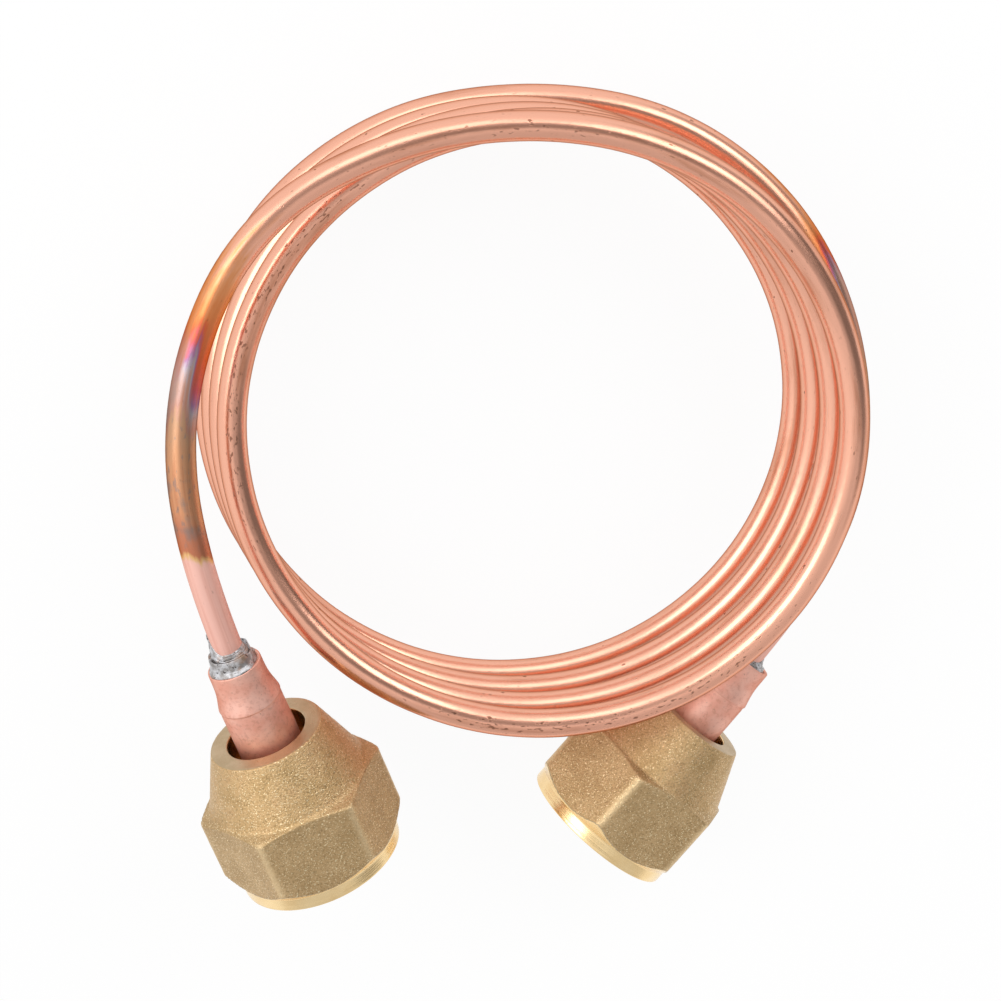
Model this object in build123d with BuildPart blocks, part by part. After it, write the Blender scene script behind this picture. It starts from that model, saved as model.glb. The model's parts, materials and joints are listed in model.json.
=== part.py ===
"""A loose coil of capillary copper tube whose two ends are brazed into flared stubs with flare nuts."""

import math
import os

from build123d import *

# Capillary tube and its coil. The coil's axis is local Z, and its first turn is the top one.
tube_diameter = 3.0
tube_bore = 1.8
coil_diameter = 60.0
turn_pitch = 5.25
corners_per_turn = 12
first_bearing = 82.0
coil_corners = 48
bend_share = 0.48
# Each turn lies a little to one side of the turn above it.
turn_drift = 1.08
drift_bearing = 185.0

# Corners of the two tails, as bearing, share of the coil's radius and level in shares of the pitch.
# The left tail's levels count from the coil's first corner, the right tail's from its last.
left_tail_shares = (
    (221.5, 1.307, 0.20),
    (197.6, 1.214, 0.81),
    (170.0, 1.207, 0.66),
    (142.0, 1.200, 0.42),
    (113.0, 1.088, 0.16),
)
right_tail_shares = (
    (91.0, 1.028, -0.06),
    (63.0, 1.053, -0.07),
    (36.0, 1.082, 0.09),
    (10.0, 1.105, 0.46),
    (-16.5, 1.146, 0.93),
    (-40.2, 1.140, 1.33),
    (-58.8, 1.206, 1.33),
)

# Stub of larger tube at each end: necked mouth for the capillary, flare at the nut's end.
stub_diameter = 6.35
stub_wall = 0.7
stub_length = 14.8
mouth_diameter = 5.5
neck_diameter = 5.9
neck_length = 3.8
shoulder_length = 0.7
flare_diameter = 9.2
flare_slope = 45.0
tube_insertion = 4.7

# Braze that fills the mouth and climbs the capillary.
braze_depth = 2.7
braze_height = 1.5
braze_collar = 0.35
braze_round_share = 1.1

# Flare nut.
nut_flats = 17.0
nut_height = 15.8
corner_round = 1.0
hex_height = 9.1
ring_diameter = 16.8
ring_height = 1.4
face_slope = 45.0
shoulder_diameter = 16.6
ledge_height = 0.6
top_diameter = 11.6
hole_diameter = 8.2
# The thread's bore passes over the stub's flare.
flare_clearance = 0.6
thread_depth = 9.5
mouth_chamfer = 0.7
seat_gap = 0.15
overrun = 1.0
left_nut_turn = 6.0
right_nut_turn = 10.0

# How the coil comes to rest on the floor: the way that its axis leans, and by how much.
rest_bearing = 188.5
rest_lean = 2.24

os.makedirs("parts", exist_ok=True)


def corner_point(bearing, radius, level):
    """A corner of the tube's route from its bearing, radius and level in the coil."""
    angle = math.radians(bearing)
    return Vector(radius * math.cos(angle), radius * math.sin(angle), level)


def route_corners():
    """The route's corners: left tail, turns of the coil, right tail."""
    step = 360.0 / corners_per_turn
    coil_radius = coil_diameter / 2
    corner_radius = coil_radius / math.cos(math.radians(step / 2))
    corners = []
    for bearing, radius_share, level_share in left_tail_shares:
        corners.append(corner_point(bearing, radius_share * coil_radius, level_share * turn_pitch))
    for count in range(coil_corners):
        turns = count / corners_per_turn
        level = -turns * turn_pitch
        drift = corner_point(drift_bearing, turns * turn_drift, level)
        corners.append(drift + corner_point(first_bearing - turns * 360.0, corner_radius, 0))
    for bearing, radius_share, level_share in right_tail_shares:
        height = level + level_share * turn_pitch
        corners.append(corner_point(bearing, radius_share * coil_radius, height))
    return corners


def bend_radii(corners):
    """The largest even bend at each corner that its two runs leave room for."""
    radii = []
    for before, here, after in zip(corners, corners[1:], corners[2:]):
        run = min((here - before).length, (after - here).length)
        turn = math.radians((here - before).get_angle(after - here))
        radii.append(bend_share * run / math.tan(turn / 2))
    return radii


lean_axis = Axis((0, 0, 0), corner_point(rest_bearing + 90.0, 1, 0))
corners = [corner.rotate(lean_axis, rest_lean) for corner in route_corners()]
radii = bend_radii(corners)
print("bend radii", round(min(radii), 1), "to", round(max(radii), 1))

# Capillary tube: one length, coiled, with both tails.
with BuildPart() as capillary_tube:
    with BuildLine() as route:
        FilletPolyline(*corners, radius=radii)
    start = route.line @ 0
    with BuildSketch(Plane(start, z_dir=route.line % 0)):
        Circle(tube_diameter / 2)
        Circle(tube_bore / 2, mode=Mode.SUBTRACT)
    sweep(path=route.line)
tube_length = sum(edge.length for edge in route.edges())
section_area = math.pi / 4 * (tube_diameter**2 - tube_bore**2)
print("tube length", round(tube_length, 1))
volume_share = capillary_tube.part.volume / section_area / tube_length
print("tube volume over section times length", round(volume_share, 4))


def end_plane(point, outward):
    """A plane on a stub's axis at its mouth rim, with Z pointing back along the capillary."""
    return Plane(point - outward * tube_insertion, z_dir=-outward)


def profile_plane(base):
    """The plane of a turned profile on a base: X is the radius and Y runs along the base's axis."""
    return Plane(base.origin, x_dir=base.x_dir, z_dir=-base.y_dir)


tube_radius = tube_diameter / 2
stub_radius = stub_diameter / 2
mouth_radius = mouth_diameter / 2
mouth_bore_radius = mouth_radius - stub_wall
flare_radius = flare_diameter / 2
slope = math.radians(flare_slope)
flare_rise = (flare_radius - stub_radius) / math.tan(slope)
wall_slant = stub_wall / math.sin(slope)
wall_shift = stub_wall * math.tan(slope / 2)
stub_neck_radius = neck_diameter / 2
shoulder_drop = neck_length + shoulder_length


def build_stub(rim):
    """Stub: a turned wall, necked at the rim and flared at the nut's end."""
    with BuildPart() as stub:
        with BuildSketch(profile_plane(rim)):
            with BuildLine():
                Polyline(
                    (mouth_radius, 0),
                    (stub_neck_radius, -neck_length),
                    (stub_radius, -shoulder_drop),
                    (stub_radius, flare_rise - stub_length),
                    (flare_radius, -stub_length),
                    (flare_radius - wall_slant, -stub_length),
                    (stub_radius - stub_wall, flare_rise - stub_length - wall_shift),
                    (stub_radius - stub_wall, -shoulder_drop),
                    (stub_neck_radius - stub_wall, -neck_length),
                    (mouth_bore_radius, 0),
                    close=True,
                )
            make_face()
        revolve(axis=Axis(rim.origin, rim.z_dir))
    return stub.part


def build_braze(rim):
    """Braze: a plug in the mouth's gap and a hollow-sided mound from the rim up the capillary."""
    collar_radius = tube_radius + braze_collar
    mound_radius = (mouth_radius - collar_radius + braze_height) * braze_round_share
    with BuildPart() as braze:
        with BuildSketch(profile_plane(rim)):
            with BuildLine():
                Polyline(
                    (collar_radius, braze_height),
                    (tube_radius, braze_height),
                    (tube_radius, -braze_depth),
                    (mouth_bore_radius, -braze_depth),
                    (mouth_bore_radius, 0),
                    (mouth_radius, 0),
                )
                RadiusArc((mouth_radius, 0), (collar_radius, braze_height), mound_radius)
            make_face()
        revolve(axis=Axis(rim.origin, rim.z_dir))
    return braze.part


thread_radius = flare_radius + flare_clearance / 2
hole_radius = hole_diameter / 2
ring_radius = ring_diameter / 2
top_radius = top_diameter / 2
shoulder_radius = shoulder_diameter / 2
shoulder_height = hex_height + ledge_height
hex_corner_radius = nut_flats / 2 / math.cos(math.radians(30))
face_top = ring_height + (hex_corner_radius - ring_radius) * math.tan(math.radians(face_slope))
seat_rise = (thread_radius - hole_radius) / math.tan(slope)
seat_top = thread_depth + seat_rise
# The nut's sloping seat stands off the flare's back by the seat gap.
flare_drop = flare_clearance / 2 / math.tan(slope)
nut_drop = stub_length + flare_drop + thread_depth - seat_gap / math.sin(slope)


def build_nut(rim, turn):
    """Flare nut: a hexagon inside a turned envelope, with its thread bore, seat and tube hole."""
    mouth = rim.offset(-nut_drop)
    axis = Axis(mouth.origin, mouth.z_dir)
    with BuildPart() as nut:
        with BuildSketch(mouth):
            hexagon = RegularPolygon(nut_flats / 2, 6, major_radius=False, rotation=turn)
            fillet(hexagon.vertices(), radius=corner_round)
        extrude(amount=nut_height)
        with BuildSketch(profile_plane(mouth)):
            with BuildLine():
                Polyline(
                    (0, 0),
                    (ring_radius, 0),
                    (ring_radius, ring_height),
                    (hex_corner_radius, face_top),
                    (hex_corner_radius, hex_height),
                    (shoulder_radius, shoulder_height),
                    (top_radius, nut_height),
                    (0, nut_height),
                    close=True,
                )
            make_face()
        revolve(axis=axis, mode=Mode.INTERSECT)
        with BuildSketch(profile_plane(mouth)):
            with BuildLine():
                Polyline(
                    (0, -overrun),
                    (thread_radius + mouth_chamfer + overrun, -overrun),
                    (thread_radius, mouth_chamfer),
                    (thread_radius, thread_depth),
                    (hole_radius, seat_top),
                    (hole_radius, nut_height + overrun),
                    (0, nut_height + overrun),
                    close=True,
                )
            make_face()
        revolve(axis=axis, mode=Mode.SUBTRACT)
    return nut.part


left_rim = end_plane(route.line @ 0, -(route.line % 0))
right_rim = end_plane(route.line @ 1, route.line % 1)
pieces = {
    "capillary_tube": capillary_tube.part,
    "left_stub": build_stub(left_rim),
    "right_stub": build_stub(right_rim),
    "left_braze": build_braze(left_rim),
    "right_braze": build_braze(right_rim),
    "left_flare_nut": build_nut(left_rim, left_nut_turn),
    "right_flare_nut": build_nut(right_rim, right_nut_turn),
}

# The origin is under the middle of the whole part, on the floor that it rests on.
box = Compound(list(pieces.values())).bounding_box()
to_floor = Location((-box.center().X, -box.center().Y, -box.min.Z))
for name, piece in pieces.items():
    settled = piece.moved(to_floor)
    settled.label = name
    export_step(settled, f"parts/{name}.step")

for side, rim in (("left", left_rim), ("right", right_rim)):
    mouth = to_floor * rim.offset(-nut_drop).location
    outward = -rim.z_dir
    print(side, "nut mouth", mouth.position, "outward", outward)
print("coil axis foot", (to_floor * Location((0, 0, 0))).position)
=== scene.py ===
# %% [markdown]
# A copper tube coil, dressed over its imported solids.
# The real object is one length of capillary tube, wound by hand into a loose coil. Each end is brazed
# into a short stub of wider tube, and a loose flare nut turns on each stub.
# This lesson loads the solids as a fixed frame, makes a finer mesh for every piece, and gives each
# metal its own finish. Blender works in metres, in the frame of the solids. Sizes of this object are
# written in millimetres, times MM.

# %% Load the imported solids
import json
import math

import bmesh
import bpy
from mathutils import Matrix, Vector


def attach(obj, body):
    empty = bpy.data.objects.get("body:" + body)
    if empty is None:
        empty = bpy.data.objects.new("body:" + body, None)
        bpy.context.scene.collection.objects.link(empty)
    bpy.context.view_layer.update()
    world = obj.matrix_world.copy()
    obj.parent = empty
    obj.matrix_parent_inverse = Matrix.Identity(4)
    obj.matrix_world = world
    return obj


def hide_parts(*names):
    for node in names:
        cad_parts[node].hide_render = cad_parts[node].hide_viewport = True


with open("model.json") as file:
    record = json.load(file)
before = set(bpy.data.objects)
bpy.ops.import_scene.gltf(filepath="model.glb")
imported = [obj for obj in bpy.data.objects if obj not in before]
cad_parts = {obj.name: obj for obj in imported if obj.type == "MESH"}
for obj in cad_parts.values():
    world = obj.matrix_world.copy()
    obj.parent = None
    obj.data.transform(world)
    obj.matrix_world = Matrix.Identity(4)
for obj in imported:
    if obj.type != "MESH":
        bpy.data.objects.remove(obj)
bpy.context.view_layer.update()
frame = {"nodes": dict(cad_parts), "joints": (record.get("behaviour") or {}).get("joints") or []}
MM = 0.001

# %% [markdown]
# The camera comes first, because every later choice is judged through it.
# The photograph looks down into the coil, not far off its axis, from over a quarter of a metre away. The
# place and the three axes below come from fitting the coil's turns to the picture.
# A camera could be aimed with a constraint, but a plain matrix says exactly where it looks.

# %% Camera
CAMERA_PLACE = Vector((-25.100, 73.575, 270.496)) * MM
CAMERA_RIGHT = Vector((0.996333, -0.000383, 0.085560))
CAMERA_DOWN = Vector((-0.023482, -0.962818, 0.269130))
CAMERA_FORWARD = Vector((0.082276, -0.270152, -0.959296))
CLIP_NEAR, CLIP_FAR = 0.01, 20.0
FOCAL_PIXELS = 2664.2
IMAGE_PIXELS = 1001
SENSOR_WIDTH = 36.0

camera = bpy.data.objects.new("camera", bpy.data.cameras.new("camera"))
camera.data.sensor_width = SENSOR_WIDTH
camera.data.lens = FOCAL_PIXELS / IMAGE_PIXELS * SENSOR_WIDTH
camera.data.clip_start = CLIP_NEAR
camera.data.clip_end = CLIP_FAR
turn = Matrix((CAMERA_RIGHT, -CAMERA_DOWN, -CAMERA_FORWARD)).transposed()
camera.matrix_world = Matrix.Translation(CAMERA_PLACE) @ turn.to_4x4()
bpy.context.scene.collection.objects.link(camera)
bpy.context.scene.camera = camera
print("lens", round(camera.data.lens, 1))

# %% [markdown]
# Node trees are the language of both Geometry Nodes and materials, and long trees are hard to read as
# links. One small class wraps a socket, so that sums can be written as sums. Any other kind of node
# comes from its make method, which takes the node's settings first and then its sockets.

# %% A socket that takes part in sums
class Wire:
    """One output socket of a node tree. Sums on wires add Math nodes."""

    def __init__(self, tree, socket=None):
        self.tree = tree
        self.socket = socket

    def make(self, kind, settings=None, sockets=None, out=0):
        """Adds a node: its settings, then the values or links of its sockets. Returns one output."""
        node = self.tree.nodes.new(kind)
        for name, value in (settings or {}).items():
            if name == "stops":
                ramp = node.color_ramp
                while len(ramp.elements) < len(value):
                    ramp.elements.new(1.0)
                for element, (place, colour) in zip(ramp.elements, value):
                    element.position = place
                    element.color = colour
            else:
                setattr(node, name, value)
        for name, value in (sockets or {}).items():
            if isinstance(value, Wire):
                self.tree.links.new(value.socket, node.inputs[name])
            else:
                node.inputs[name].default_value = value
        return Wire(self.tree, node.outputs[out])

    def other(self, name):
        """Another output of the same node."""
        return Wire(self.tree, self.socket.node.outputs[name])

    def math(self, operation, *values):
        """A Math node with this wire first."""
        return self.make("ShaderNodeMath", {"operation": operation}, dict(enumerate((self, *values))))

    def reflected(self, operation, value):
        """A Math node with this wire second."""
        return self.make("ShaderNodeMath", {"operation": operation}, {0: value, 1: self})

    def __add__(self, value):
        return self.math("ADD", value)

    def __sub__(self, value):
        return self.math("SUBTRACT", value)

    def __mul__(self, value):
        return self.math("MULTIPLY", value)

    def __truediv__(self, value):
        return self.math("DIVIDE", value)

    def __radd__(self, value):
        return self.reflected("ADD", value)

    def __rsub__(self, value):
        return self.reflected("SUBTRACT", value)

    def __rmul__(self, value):
        return self.reflected("MULTIPLY", value)

    def span(self, low, high):
        """Nought below low and one above high, with a soft step between."""
        settings = {"interpolation_type": "SMOOTHSTEP"}
        return self.make("ShaderNodeMapRange", settings, {"Value": self, 1: low, 2: high})


# %% [markdown]
# A Geometry Nodes tree is made once, with named inputs for its sizes, and then grown into a plain mesh
# for each piece. The modifier could stay on the object, but a plain mesh is what other programs read.

# %% Trees, and what grows from them
def new_tree(name, inputs):
    """A Geometry Nodes tree with a geometry in, a geometry out and named inputs."""
    tree = bpy.data.node_groups.new(name, "GeometryNodeTree")
    tree.interface.new_socket("Geometry", in_out="INPUT", socket_type="NodeSocketGeometry")
    tree.interface.new_socket("Geometry", in_out="OUTPUT", socket_type="NodeSocketGeometry")
    for label, kind in inputs:
        tree.interface.new_socket(label, in_out="INPUT", socket_type="NodeSocket" + kind)
    group = tree.nodes.new("NodeGroupInput")
    wires = {socket.name: Wire(tree, socket) for socket in group.outputs if socket.name}
    return tree, wires


def close_tree(tree, geometry, material):
    """Ends a tree in smooth shading, Realize Instances and Set Material."""
    smooth = geometry.make("GeometryNodeSetShadeSmooth", None, {"Geometry": geometry})
    realized = smooth.make("GeometryNodeRealizeInstances", None, {"Geometry": smooth})
    sockets = {"Geometry": realized, "Material": material}
    painted = realized.make("GeometryNodeSetMaterial", None, sockets)
    tree.links.new(painted.socket, tree.nodes.new("NodeGroupOutput").inputs[0])


def grown(name, mesh, tree, values):
    """A plain mesh object, grown from a mesh by a tree with its inputs set."""
    seed = bpy.data.objects.new(name, mesh)
    bpy.context.scene.collection.objects.link(seed)
    modifier = seed.modifiers.new("grow", "NODES")
    modifier.node_group = tree
    for item in tree.interface.items_tree:
        if item.name in values:
            modifier[item.identifier] = values[item.name]
    bpy.context.view_layer.update()
    graph = bpy.context.evaluated_depsgraph_get()
    seed.data = bpy.data.meshes.new_from_object(seed.evaluated_get(graph))
    seed.data.name = name
    seed.modifiers.clear()
    return seed


# %% [markdown]
# A few groups of nodes come back in every tree: keeping a value on the points, reading it again further
# on, a ring to sweep, noise with a seed, and a push along the normals. Each gets a short helper.

# %% Helpers for the trees
def keep(geometry, name, value, kind="FLOAT"):
    """Stores a value on a geometry's points."""
    settings = {"data_type": kind, "domain": "POINT"}
    sockets = {"Geometry": geometry, "Name": name, "Value": value}
    return geometry.make("GeometryNodeStoreNamedAttribute", settings, sockets)


def kept(wire, name):
    """A number that was stored on the points."""
    return wire.make("GeometryNodeInputNamedAttribute", {"data_type": "FLOAT"}, {"Name": name})


def share_ring(wire, sides, radius):
    """A circle whose points keep their share of the way round."""
    sockets = {"Resolution": sides, "Radius": radius}
    circle = wire.make("GeometryNodeCurvePrimitiveCircle", None, sockets)
    return keep(circle, "share", circle.make("GeometryNodeSplineParameter", out="Factor"))


def swept_along(curve, profile):
    """A mesh swept along a curve."""
    sockets = {"Curve": curve, "Profile Curve": profile}
    return curve.make("GeometryNodeCurveToMesh", None, sockets)


def vector(operation, *vectors, out="Vector"):
    """A Vector Math node on vectors, the first of which is a wire."""
    settings = {"operation": operation}
    return vectors[0].make("ShaderNodeVectorMath", settings, dict(enumerate(vectors)), out=out)


def seeded_noise(place, seed, scale, detail):
    """Noise between nought and one over a place, with a seed."""
    sockets = {"W": seed, "Vector": place, "Scale": scale, "Detail": detail}
    return place.make("ShaderNodeTexNoise", {"noise_dimensions": "4D"}, sockets)


def pushed(geometry, amount):
    """A geometry with its points pushed along their normals."""
    normal = geometry.make("GeometryNodeInputNormal")
    sockets = {0: normal, "Scale": amount}
    offset = geometry.make("ShaderNodeVectorMath", {"operation": "SCALE"}, sockets)
    return geometry.make("GeometryNodeSetPosition", None, {"Geometry": geometry, "Offset": offset})


# %% [markdown]
# Finishes. Each metal is a Principled shader with full metallic weight, so that most of its look comes
# from what it reflects. What changes over a surface is colour, roughness and a fine bump.
# A picture of each metal would be quicker, but noise has no seams and stays sharp from close by.

# %% Helpers for the finishes
def finish(name):
    """A new material, its shader, and a wire to start sums from."""
    material = bpy.data.materials.new(name)
    material.use_nodes = True
    shader = material.node_tree.nodes["Principled BSDF"]
    shader.inputs["Metallic"].default_value = 1.0
    return material, shader, Wire(material.node_tree)


def feed(shader, **wires):
    """Links wires to a shader's sockets."""
    for name, wire in wires.items():
        wire.tree.links.new(wire.socket, shader.inputs[name.replace("_", " ").title()])


def mix(factor, first, second):
    """A colour between two colours."""
    sockets = {0: factor, 6: first, 7: second}
    return factor.make("ShaderNodeMix", {"data_type": "RGBA"}, sockets, out=2)


def layered(colour, layers):
    """A colour with others laid over it in turn, each through its own mask."""
    for mask, over in layers:
        colour = mix(mask, colour, over)
    return colour


def stored(wire, name, out="Fac"):
    """An attribute that a tree has kept on the points."""
    return wire.make("ShaderNodeAttribute", {"attribute_name": name}, out=out)


def grain(wire, place, scale, detail, rough):
    """Noise between nought and one over a place."""
    sockets = {"Vector": place, "Scale": scale, "Detail": detail, "Roughness": rough}
    return wire.make("ShaderNodeTexNoise", None, sockets)


def drawn_out(wire, place, share):
    """A place squeezed along the tube, so that grain over it is drawn out."""
    sockets = {"Vector": place, "Scale": (1.0, 1.0, share)}
    return wire.make("ShaderNodeMapping", {"vector_type": "POINT"}, sockets)


def bump(height, strength, distance):
    """A bump that a shader's normal can take."""
    sockets = {"Height": height, "Strength": strength, "Distance": distance}
    return height.make("ShaderNodeBump", None, sockets)


# %% [markdown]
# The capillary is soft drawn copper: bright, salmon pink, with fine lines along its length from the
# drawing die, brown films and small dark pits. Near each braze the flame has left a row of heat
# colours. The tube's tree stores for each point where it would be on the straight tube, so that lines
# follow the bends, and the heat colours are a ramp over the length from each end.

# %% Colours of the capillary
CLEAN_COPPER = (0.93, 0.475, 0.335, 1.0)
BROWN_FILM = (0.54, 0.21, 0.11, 1.0)
BROWN_PINK = (0.60, 0.33, 0.24, 1.0)
RED_PINK = (0.80, 0.40, 0.31, 1.0)
GREY_SPOT = (0.30, 0.24, 0.22, 1.0)
DARK_PIT = (0.22, 0.09, 0.05, 1.0)
# Painted shade: this edge tint makes reflections near a tube's outline darker and browner, for the dark
# surroundings they would reflect.
PAINTED_EDGE_SHADE = (0.42, 0.26, 0.20, 1.0)
# Heat colours, by the length from a braze in millimetres.
HEAT_STOPS_MM = (
    (0.0, (1.0, 0.63, 0.54)),
    (16.4, (1.0, 0.63, 0.54)),
    (16.8, (0.90, 0.56, 0.24)),
    (17.2, (0.62, 0.22, 0.12)),
    (19.5, (0.62, 0.24, 0.14)),
    (21.0, (0.72, 0.34, 0.18)),
    (25.0, (0.68, 0.34, 0.18)),
    (29.5, (0.56, 0.33, 0.20)),
    (31.0, (0.52, 0.28, 0.22)),
    (33.5, (0.50, 0.34, 0.30)),
    (35.0, (0.42, 0.38, 0.42)),
    (36.4, (0.34, 0.18, 0.33)),
    (38.0, (0.58, 0.11, 0.13)),
    (39.4, (0.74, 0.14, 0.05)),
    (41.0, (0.78, 0.25, 0.08)),
    (44.0, (0.82, 0.35, 0.15)),
    (50.0, (0.89, 0.44, 0.29)),
)
HEAT_REACH_MM = 50.0
RIGHT_HEAT_STRETCH = 1.27
TUBE_LENGTH_MM = 923.5
print("heat colours", len(HEAT_STOPS_MM), "over", HEAT_REACH_MM, "mm from each braze")

# %% [markdown]
# Handling has left some stretches of the real tube pitted. Over the same stretches a brown band runs along
# part of the width. It is a painted shade, for the dark bands that the tube reflects there. They could be
# painted by hand, but masks over the length and the width can be typed and changed. The width runs from -1
# on the outside of the coil to 1 on the inside.

# %% Pits and painted shade along the capillary
# From and to along the tube, from and to over its width for the painted shade band, and how pitted it is.
PITS_AND_SHADE_MM = (
    (56.0, 98.0, -0.4, 0.3, 0.6),
    (140.0, 195.0, -0.5, 0.2, 1.0),
    (205.0, 262.0, 0.0, 1.4, 1.0),
)
PITS_AND_SHADE_FADE_MM = 15.0
SHADE_BAND_EDGE = 0.25


def after_mm(length, fade):
    """Nought before a fade along the tube and one after it."""
    return length.span(fade[0] * MM, fade[1] * MM)


def between_mm(length, fades):
    """One between two fades along the tube."""
    return after_mm(length, fades[0]) * (1 - after_mm(length, fades[1]))


def pits_and_painted_shade(along, inward, patch):
    """How pitted the skin is, and how brown: random patches and painted shade bands."""
    upper = 1 - inward.math("ABSOLUTE").span(0.25, 0.6)
    worn = stain_and_shade = patch.span(0.62, 0.74) * 0.5
    for begin, end, low, high, pitted in PITS_AND_SHADE_MM:
        fades = ((begin, begin + PITS_AND_SHADE_FADE_MM), (end - PITS_AND_SHADE_FADE_MM, end))
        stretch = between_mm(along, fades)
        # The side band is a painted shade: brown where the tube reflects something dark.
        side = inward.span(low, low + SHADE_BAND_EDGE) * (1 - inward.span(high - SHADE_BAND_EDGE, high))
        worn = worn.math("MAXIMUM", stretch * upper * pitted)
        stain_and_shade = stain_and_shade.math("MAXIMUM", stretch * side)
    return worn, stain_and_shade


# %% [markdown]
# The flame's colours end in frayed edges. On the inner side of the tube they are held near red, a painted
# reflection of the neighbouring copper turns. So the ramp doesn't read the plain length from the braze, but
# a length that noise and the side of the tube have shifted.

# %% Flame along the capillary
# Lengths from a braze over which each part of the heated stretch fades in, or in and out.
PICKLED_END_MM = (16.0, 17.2)
STREAKS_MM = (16.0, 19.0)
SCORCHED_MM = ((17.0, 20.0), (28.0, 36.0))
FRAYED_MM = (22.0, 30.0)
REFLECTED_RED_MM = ((27.0, 35.0), (41.0, 46.0))
OUTER_BROWN_MM = ((31.0, 34.0), (37.0, 40.0))
HEAT_END_MM = (43.0, 50.0)
# Shifts of the length. That by the film grows with the square of the length.
SMUDGE_SHIFT_MM = 2.0
SIDE_SHIFT_MM = 0.5
LINES_SHIFT_MM = 5.0
DIMPLES_SHIFT_MM = 3.0
FILM_SHIFT = 13.0
# On the inner side the colour hardly leaves red, a painted reflection of neighbouring copper, and drifts
# past it at this share.
RED_MM = 39.2
RED_MIDDLE_MM = 36.0
RED_DRIFT = 0.35
REFLECTED_RED_SIDE = (0.12, 0.42)


def flame_length(ends, inward, smudge, film, lines, dimples):
    """The length from a braze, frayed as a flame's colours are, and held near red on the inner side as a
    painted reflection.
    """
    flame = ends + (smudge - 0.5) * (SMUDGE_SHIFT_MM * MM)
    flame = flame + (film - 0.5) * ends * ends * FILM_SHIFT + (SIDE_SHIFT_MM * MM) * inward
    frayed = (lines - 0.5) * (LINES_SHIFT_MM * MM) + (dimples - 0.5) * (DIMPLES_SHIFT_MM * MM)
    flame = flame + frayed * after_mm(ends, FRAYED_MM)
    reflected_red = inward.span(*REFLECTED_RED_SIDE) * between_mm(ends, REFLECTED_RED_MM)
    red = RED_MM * MM + (ends - RED_MIDDLE_MM * MM) * RED_DRIFT
    return flame + (red - flame) * reflected_red


def heat_ramp(wire, length):
    """Heat colours over a length in metres from a braze."""
    stops = [(place / HEAT_REACH_MM, (*colour, 1.0)) for place, colour in HEAT_STOPS_MM]
    return wire.make("ShaderNodeValToRGB", {"stops": stops}, {0: length / (HEAT_REACH_MM * MM)})


# %% [markdown]
# The finish itself lays each film over clean copper in turn: brown film, heat colours, streaks, grey
# soot, the pickled end, and last the pits, which go through everything above them.

# %% Copper of the capillary
# Each grain of the skin: its scale along the tube as a share of that across it, then scale, detail and
# roughness. A small share draws the grain out into lines.
TUBE_GRAINS = {
    "lines": (0.03, 2600.0, 3.0, 0.5),
    "film": (0.10, 520.0, 4.0, 0.6),
    "patch": (0.3, 110.0, 3.0, 0.5),
    "specks": (0.35, 4200.0, 2.0, 0.5),
    "spots": (0.45, 1900.0, 2.0, 0.5),
    "dimples": (0.5, 1500.0, 3.0, 0.5),
    "smudge": (1.0, 240.0, 3.0, 0.5),
    "streaks": (0.05, 3400.0, 2.0, 0.5),
}
TUBE_RELIEF = 0.06 * MM


def copper_of_tube():
    """Bright drawn copper with heat colours at both ends."""
    material, shader, wire = finish("drawn_copper")
    # The edge tint is a painted shade along the outline.
    shader.inputs["Specular Tint"].default_value = PAINTED_EDGE_SHADE
    place = stored(wire, "straight", "Vector")
    inward = stored(wire, "inward")
    along = place.make("ShaderNodeSeparateXYZ", None, {0: place}, out="Z")
    lines, film, patch, specks, spots, dimples, smudge, streaks = (
        grain(wire, drawn_out(wire, place, share), *noise)
        for share, *noise in TUBE_GRAINS.values()
    )
    worn, stain_and_shade = pits_and_painted_shade(along, inward, patch)
    pits = (specks + worn * 0.10).span(0.68, 0.75) * (0.35 + 0.4 * worn)
    pits = pits.math("MAXIMUM", (spots + worn * 0.03).span(0.73, 0.77) * 0.8)
    ends = along.math("MINIMUM", (TUBE_LENGTH_MM * MM - along) / RIGHT_HEAT_STRETCH)
    flame = flame_length(ends, inward, smudge, film, lines, dimples)
    heated = 1 - after_mm(flame, HEAT_END_MM)
    pickled = 1 - after_mm(flame, PICKLED_END_MM)
    outer = inward.span(-0.35, -0.65) * between_mm(ends, OUTER_BROWN_MM)
    streaks = streaks.span(0.50, 0.66) * heated * after_mm(ends, STREAKS_MM)
    soot = (smudge + film * 0.5).span(0.76, 0.90).math("MAXIMUM", spots.span(0.6, 0.7) * 0.7)
    colour = layered(CLEAN_COPPER, (
        # Brown film: a real film in random patches, and the painted shade bands.
        ((film + stain_and_shade * 0.12).span(0.52, 0.78) * 0.75, BROWN_FILM),
        (heated * 0.96, heat_ramp(wire, flame)),
        (outer * 0.75, BROWN_PINK),
        (streaks * 0.4, BROWN_FILM),
        (soot * between_mm(ends, SCORCHED_MM) * 0.8, GREY_SPOT),
        (pickled * lines.span(0.45, 0.68) * 0.35, RED_PINK),
        (pits * (1 - 0.7 * pickled), DARK_PIT),
    ))
    roughness = 0.15 + 0.15 * film + 0.06 * lines + 0.22 * pickled + 0.14 * heated
    relief = lines * 0.4 - pits * 0.8 + smudge * 0.8 + dimples * 0.9
    feed(shader, base_color=colour, roughness=roughness, normal=bump(relief, 0.3, TUBE_RELIEF))
    return material


drawn_copper = copper_of_tube()
print("finish", drawn_copper.name, "nodes", len(drawn_copper.node_tree.nodes))

# %% [markdown]
# The stubs were pickled clean after brazing, so they are matte pink copper with brown smudges. They
# could share the capillary's finish, but acid leaves a cloudy skin with no drawn lines, so theirs reads
# plain Object coordinates.

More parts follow.
